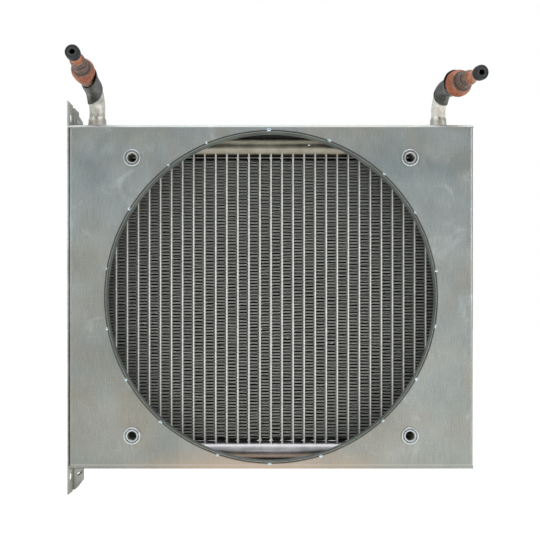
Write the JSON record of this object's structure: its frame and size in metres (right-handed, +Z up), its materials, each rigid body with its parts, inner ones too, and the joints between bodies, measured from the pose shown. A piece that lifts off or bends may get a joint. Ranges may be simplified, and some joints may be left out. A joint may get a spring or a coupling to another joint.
{
  "type": "automotive heat exchanger with fan shroud",
  "caption": "Flat-tube aluminium heat exchanger with round headers, folded sheet fan shroud, round fan ring, foot plate with ears and two capped pipe connections.",
  "frame": {"origin": "centre of the fan opening on the shroud's front face", "axes": "+X to the outlet side, +Y back from the shroud face through the core, +Z up"},
  "size_m": [0.3536, 0.1054, 0.3719],
  "materials": {
    "shroud_sheet": "satin galvanised sheet",
    "bracket_sheet": "satin galvanised sheet",
    "weld": "bright tack weld",
    "plated_steel": "zinc plated",
    "header_alloy": "brazed, semi-gloss",
    "tube_alloy": "extruded, bright",
    "fin_alloy": "brazed, matt grey",
    "pipe_alloy": "drawn, semi-gloss",
    "shrink_plastic": "shrunk, wrinkled",
    "copper": "heat-tinted copper",
    "braze": "as brazed",
    "cap_rubber": "matt",
    "seal_foam": "matt foam"
  },
  "bodies": {
    "radiator": {"shroud_panel": "shroud_sheet", "fan_ring": "shroud_sheet", "ring_tack_welds": "weld", "fan_rivet_nuts": "plated_steel", "top_header": "header_alloy", "bottom_header": "header_alloy", "header_end_caps": "header_alloy", "pass_baffle": "header_alloy", "inlet_pass_tubes": "tube_alloy", "outlet_pass_tubes": "tube_alloy", "fin_strips": "fin_alloy", "left_side_channel": "header_alloy", "right_side_channel": "header_alloy", "foot_plate": "shroud_sheet", "core_bracket": "bracket_sheet", "foot_rivets": "plated_steel", "bracket_screws": "plated_steel", "shroud_screws": "plated_steel", "inlet_socket": "header_alloy", "outlet_socket": "header_alloy", "inlet_pipe": "pipe_alloy", "outlet_pipe": "pipe_alloy", "inlet_shrink_sleeve": "shrink_plastic", "outlet_shrink_sleeve": "shrink_plastic", "inlet_copper_adapter": "copper", "outlet_copper_adapter": "copper", "inlet_copper_stub": "copper", "outlet_copper_stub": "copper", "inlet_braze_ring": "braze", "outlet_braze_ring": "braze", "top_seal": "seal_foam", "bottom_seal": "seal_foam"},
    "inlet_cap_body": {"inlet_cap": "cap_rubber"},
    "outlet_cap_body": {"outlet_cap": "cap_rubber"}
  },
  "joints": [
    {"name": "inlet_cap_pull", "type": "slide", "parent": "radiator", "child": "inlet_cap_body", "axis": [-0.0052, -0.995, 0.0993], "range_m": [0, 0.06]},
    {"name": "outlet_cap_pull", "type": "slide", "parent": "radiator", "child": "outlet_cap_body", "axis": [0.2, -0.9746, -0.1011], "range_m": [0, 0.06]}
  ]
}
